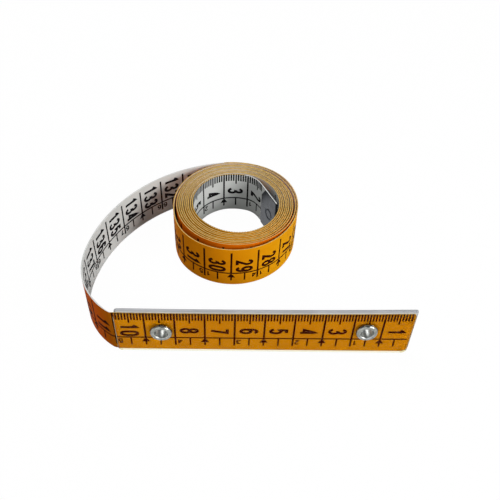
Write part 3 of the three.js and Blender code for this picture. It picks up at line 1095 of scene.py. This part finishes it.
def turned(maker, centre, profile, bore_steps):
    """Turns a closed profile of radius and place across the tape about a bore's axis. The
    profile's steps that line the bore have the second slot."""
    points, flat, faces, slots = [], [], [], []
    count = len(profile)
    for i in range(EYELET_SIDES):
        angle = TURN * i / EYELET_SIDES
        for radius, across in profile:
            reach, up = centre[0] + radius * cos(angle), centre[1] + radius * sin(angle)
            points.append(place(-reach, across, up))
            flat.append((reach, up))
        for k in range(count):
            a, b = i * count, (i + 1) % EYELET_SIDES * count
            after = (k + 1) % count
            faces.append((a + k, b + k, b + after, a + after))
            slots.append(1 if k in bore_steps else 0)
    maker.extend(points, flat, faces, slots)


def eyelet(name, node, centre):
    """One turned piece: a rim before the clear plate, a barrel through both plates and a
    clinched end behind the white one."""
    front = MIDDLE_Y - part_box("stiffener_front")[0].y
    back = MIDDLE_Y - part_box("stiffener_back")[1].y
    clinch = rolled_rim(back, -1, CLINCH_EDGE_RADIUS, CLINCH_CREST_RADII, CLINCH_HEIGHT,
                        CLINCH_DEPTH)
    profile = rolled_rim(front, 1, RIM_EDGE_RADIUS, RIM_CREST_RADII, RIM_HEIGHT, MOUTH_DEPTH)
    profile += clinch[::-1] + [(EYELET_BARREL_RADIUS, back), (EYELET_BARREL_RADIUS, front)]
    bore_steps = range(2 * RIM_STEPS - BORE_LEAD_STEPS, 2 * RIM_STEPS + 2 + BORE_LEAD_STEPS)
    maker = Maker()
    turned(maker, centre, profile, bore_steps)
    piece = maker.piece(name, [nickel, nickel_bore_painted_light])
    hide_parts(node)
    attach(piece, "stiff_end")


for name, node, centre in zip(("eyelet_by_zero", "eyelet_by_ten"), EYELET_NODES, eyelet_centres):
    eyelet(name, node, centre)


# The tip: a sheet folded round the end of the tape, with a ring stamped into it

TIP_GAP = 0.04 * MM  # from the tape's face to the sheet
TIP_EDGE = 0.06 * MM  # the sheet's eased edge
TIP_FOLD_REACH = TIP_SEAT + TIP_SHEET
TIP_CUT_START = 15 * MM  # above this height the free corner is cut back
TIP_CUT = 2.5 * MM
TIP_LOW_CUT_START = 1.2 * MM
TIP_LOW_CUT = 0.8 * MM
TIP_RING_FROM_END = 4.6 * MM
TIP_RING_RADIUS = 2.2 * MM
TIP_RING_HALF_WIDTH = 0.3 * MM
TIP_RING_DEPTH = 0.28 * MM
TIP_LEG_STEPS = 60
TIP_FOLD_STEPS = 12
TIP_UP_STEPS = 90


def tip_leg(up):
    """How far the tip's free edge lies from the end of the tape at a height."""
    cut = TIP_CUT * max(up - TIP_CUT_START, 0) / (TAPE_WIDTH - TIP_CUT_START)
    low_cut = TIP_LOW_CUT * max(TIP_LOW_CUT_START - up, 0) / TIP_LOW_CUT_START
    return TIP_LENGTH - cut - low_cut


def tip_point(station, up, half, outer, shrink):
    """A point of the folded sheet. Stations run along one leg, round the fold and back along
    the other. Half is how far its layer lies from the tape's middle, and outer how far the
    outermost layer does. Shrink is 1 for the layers that the eased edge draws in, 0 for others."""
    inside = TIP_EDGE * shrink
    up = min(max(up, inside), TAPE_WIDTH - inside)
    leg = tip_leg(up) - inside
    if station <= TIP_LEG_STEPS:
        back, across = leg * (1 - station / TIP_LEG_STEPS), half
    elif station >= TIP_LEG_STEPS + TIP_FOLD_STEPS:
        past = station - TIP_LEG_STEPS - TIP_FOLD_STEPS
        back, across = leg * past / TIP_LEG_STEPS, -half
    else:
        angle = pi * (station - TIP_LEG_STEPS) / TIP_FOLD_STEPS
        back, across = -TIP_FOLD_REACH * sin(angle) * half / outer, half * cos(angle)
    if shrink and half == outer:
        ring = hypot(back - TIP_RING_FROM_END, up - TAPE_WIDTH / 2) - TIP_RING_RADIUS
        pressed = TIP_RING_DEPTH * exp(-(ring / TIP_RING_HALF_WIDTH) ** 2)
        across -= pressed if across > 0 else -pressed
    distance = TAPE_LENGTH - back
    return place(distance, across, up), (distance, up)


def folded_tip():
    maker = Maker()
    inner = TAIL_THICKNESS / 2 + TIP_GAP
    outer = inner + TIP_SHEET
    wide, tall = 2 * TIP_LEG_STEPS + TIP_FOLD_STEPS, TIP_UP_STEPS
    layers = ((outer, 1), (outer - TIP_EDGE, 0), (inner + TIP_EDGE, 0), (inner, 1))
    rim = [(i, 0) for i in range(wide)] + [(wide, k) for k in range(tall)]
    rim += [(i, tall) for i in range(wide, 0, -1)] + [(0, k) for k in range(tall, 0, -1)]
    points, flat, numbers = [], [], []
    for half, shrink in layers:
        made = [(i, k) for i in range(wide + 1) for k in range(tall + 1)] if shrink else rim
        number = {}
        for i, k in made:
            number[(i, k)] = len(points)
            point, where = tip_point(i, TAPE_WIDTH * k / tall, half, outer, shrink)
            points.append(point)
            flat.append(where)
        numbers.append(number)
    faces = []
    for number, outwards in ((numbers[0], True), (numbers[-1], False)):
        for i in range(wide):
            for k in range(tall):
                face = (number[(i, k)], number[(i, k + 1)], number[(i + 1, k + 1)],
                        number[(i + 1, k)])
                faces.append(face if outwards else face[::-1])
    for number, under in zip(numbers, numbers[1:]):
        for a, b in zip(rim, rim[1:] + rim[:1]):
            faces.append((number[a], number[b], under[b], under[a]))
    maker.extend(points, flat, faces, [0] * len(faces))
    piece = maker.piece("folded_tip", [tip_metal])
    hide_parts("end_tip")
    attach(piece, "tail")


folded_tip()


# Floor, light and camera

FLOOR_REACH = 3  # metres, each way
FLOOR_COLOUR = (0.3, 0.3, 0.3)
FLOOR_PLAIN_SHARE = 0.95  # how much of it shows plain white, whatever falls on it
FLOOR_PLAIN_STRENGTH = 1.035
PLAIN = (1, 1, 1)
WORLD_COLOUR = (0.94, 0.97, 1)
WORLD_STRENGTH = 0.12
MIRRORED = ((0.1, PLAIN), (0.5, (0.16, 0.17, 0.19)))  # what metal mirrors, by height in the sky
LAMPS_TOWARDS = Vector((0, 0, 0.01))
LAMPS = (  # each by its name, place and size in metres, and power in watts
    ("key", (0.54, -0.38, 0.36), 0.4, 4.7),
    ("fill", (-0.3, -0.6, 0.4), 0.8, 1.6),
    ("back", (-0.2, 0.3, 0.65), 0.5, 2.8),
)


def floor():
    """A matt floor that rays from the camera, also through plastic or off metal, see as white."""
    mesh = bpy.data.meshes.new("floor")
    corners = [(x * FLOOR_REACH, y * FLOOR_REACH, 0) for x, y in ((-1, -1), (1, -1), (1, 1), (-1, 1))]
    mesh.from_pydata(corners, [], [(0, 1, 2, 3)])
    plane = linked("floor", mesh)
    material = bpy.data.materials.new("floor")
    material.use_nodes = True
    tree = material.node_tree
    tree.nodes.clear()
    matt = add(tree, "BsdfDiffuse", (*FLOOR_COLOUR, 1)).outputs[0]
    plain = add(tree, "Emission", (*PLAIN, 1), FLOOR_PLAIN_STRENGTH).outputs[0]
    rays = add(tree, "LightPath").outputs
    through = maths(tree, "MAXIMUM", rays["Is Camera Ray"], rays["Is Transmission Ray"])
    seen = maths(tree, "MAXIMUM", through, rays["Is Glossy Ray"])
    share = maths(tree, "MULTIPLY", seen, FLOOR_PLAIN_SHARE)
    mix = add(tree, "MixShader", share, matt, plain).outputs[0]
    add(tree, "OutputMaterial", mix)
    mesh.materials.append(material)


def lamp(name, at, size, power):
    light = bpy.data.lights.new(name, "AREA")
    light.shape = "DISK"
    light.size = size
    light.energy = power
    item = linked(name, light)
    item.location = at
    item.rotation_euler = (LAMPS_TOWARDS - Vector(at)).to_track_quat("-Z", "Y").to_euler()


def surroundings():
    """A world that lights with one colour, is mirrored as bright near the horizon and dark
    overhead, and is seen as plain white."""
    world = bpy.data.worlds.new("studio")
    bpy.context.scene.world = world
    world.use_nodes = True
    tree = world.node_tree
    lit = tree.nodes["Background"]
    feed(tree, lit.inputs["Color"], (*WORLD_COLOUR, 1))
    feed(tree, lit.inputs["Strength"], WORLD_STRENGTH)
    plain = add(tree, "Background", (*PLAIN, 1), 1).outputs[0]
    axes = add(tree, "SeparateXYZ", add(tree, "TexCoord").outputs["Generated"]).outputs
    mirrored = add(tree, "Background", ramp(tree, axes["Z"], MIRRORED), 1).outputs[0]
    rays = add(tree, "LightPath").outputs
    through = maths(tree, "MAXIMUM", rays["Is Camera Ray"], rays["Is Transmission Ray"])
    unseen = add(tree, "MixShader", rays["Is Glossy Ray"], lit.outputs[0], mirrored).outputs[0]
    mix = add(tree, "MixShader", through, unseen, plain).outputs[0]
    feed(tree, tree.nodes["World Output"].inputs["Surface"], mix)


# The camera stands in front of the stiffened end and looks down at it
CAMERA_NEAR = 0.01  # metres, from where on it sees
CAMERA_AT = Vector((-7.497, -160.754, 184.143)) * MM
CAMERA_DOWN = radians(47.347)
CAMERA_YAW = radians(3.426)
CAMERA_ROLL = radians(3.15)
CAMERA_LENS = 45.27


def camera():
    ahead = Vector((sin(CAMERA_YAW) * cos(CAMERA_DOWN), cos(CAMERA_YAW) * cos(CAMERA_DOWN),
                    -sin(CAMERA_DOWN)))
    level = Vector((cos(CAMERA_YAW), -sin(CAMERA_YAW), 0))
    upright = level.cross(ahead)
    right = cos(CAMERA_ROLL) * level + sin(CAMERA_ROLL) * upright
    up = cos(CAMERA_ROLL) * upright - sin(CAMERA_ROLL) * level
    data = bpy.data.cameras.new("camera")
    data.lens = CAMERA_LENS
    data.clip_start = CAMERA_NEAR
    item = linked("camera", data)
    facing = Matrix((right, up, -ahead)).transposed()
    item.matrix_world = Matrix.Translation(CAMERA_AT) @ facing.to_4x4()
    bpy.context.scene.camera = item


floor()
for settings in LAMPS:
    lamp(*settings)
surroundings()
camera()
bpy.context.scene.view_settings.view_transform = "Standard"

bpy.context.view_layer.update()
